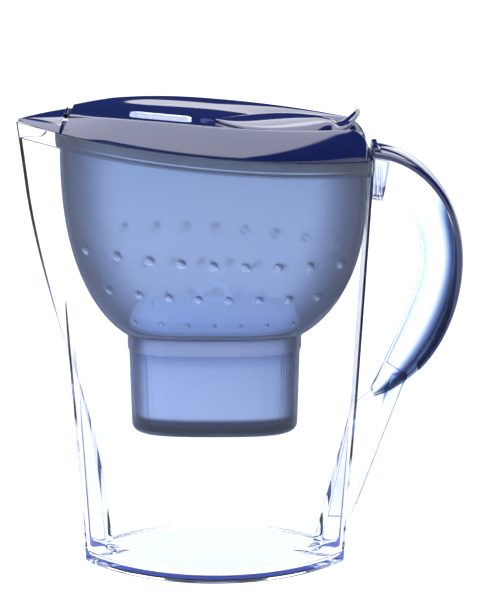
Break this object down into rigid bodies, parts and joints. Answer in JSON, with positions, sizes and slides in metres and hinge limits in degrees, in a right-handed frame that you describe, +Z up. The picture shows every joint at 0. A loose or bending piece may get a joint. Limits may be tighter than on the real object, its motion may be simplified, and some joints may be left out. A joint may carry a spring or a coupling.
{
  "type": "water filter pitcher",
  "caption": "Narrow clear water filter pitcher with a pointed beak, closed handle, blue funnel with filter cartridge and a dark blue lid with a flip-up refill flap.",
  "frame": {"origin": "middle of the flat foot, on the table", "axes": "+X towards the handle, -X towards the beak, +Y across, +Z up"},
  "size_m": [0.2464, 0.104, 0.2587],
  "materials": {
    "clear_jug": "clear, polished",
    "clear_grip": "clear, polished",
    "blue_trim": "high gloss",
    "blue_funnel": "translucent, satin inside",
    "white_plastic": "satin",
    "seal_rubber": "matte",
    "sieve_mesh": "matte",
    "granules": "rough grains",
    "blue_lid": "high gloss",
    "blue_liner": "satin",
    "pin_steel": "brushed",
    "case_plastic": "matte",
    "white_bezel": "gloss",
    "clear_window": "clear, polished",
    "display_grey": "gloss",
    "board_green": "satin",
    "battery_steel": "brushed",
    "button_blue": "satin"
  },
  "bodies": {
    "jug": {"jug_body": "clear_jug", "handle_grip": "clear_grip", "handle_trim": "blue_trim"},
    "funnel": {"funnel": "blue_funnel"},
    "cartridge": {"cartridge_case": "white_plastic", "cartridge_cap": "white_plastic", "cartridge_ring": "white_plastic", "cartridge_seal": "seal_rubber", "upper_sieve": "sieve_mesh", "lower_sieve": "sieve_mesh", "filter_granules": "granules"},
    "lid": {"lid_shell": "blue_lid", "lid_liner": "blue_liner", "refill_pin": "pin_steel", "spout_pin": "pin_steel", "indicator_case": "case_plastic", "indicator_bezel": "white_bezel", "indicator_lens": "clear_window", "indicator_display": "display_grey", "indicator_board": "board_green", "indicator_battery": "battery_steel"},
    "refill_flap": {"refill_flap": "blue_lid"},
    "spout_flap": {"spout_flap": "blue_lid"},
    "indicator_button": {"indicator_button": "button_blue"}
  },
  "joints": [
    {"name": "funnel_lift", "type": "slide", "parent": "jug", "child": "funnel", "axis": [0, 0, -1], "range_m": [-0.18, 0]},
    {"name": "cartridge_lift", "type": "slide", "parent": "funnel", "child": "cartridge", "axis": [0, 0, -1], "range_m": [-0.055, 0]},
    {"name": "lid_lift", "type": "slide", "parent": "funnel", "child": "lid", "axis": [0, 0, 1], "range_m": [0, 0.045]},
    {"name": "refill_hinge", "type": "hinge", "parent": "lid", "child": "refill_flap", "pos_m": [0.068, 0, 0.24669], "axis": [0, -1, 0], "range_deg": [-50, 0]},
    {"name": "spout_hinge", "type": "hinge", "parent": "lid", "child": "spout_flap", "pos_m": [-0.0804, 0, 0.25586], "axis": [0, -1, 0], "range_deg": [-60, 0]},
    {"name": "button_press", "type": "slide", "parent": "lid", "child": "indicator_button", "axis": [0.0924, 0, 0.9957], "range_m": [-0.0006, 0], "stiffness_N_per_m": 300}
  ]
}
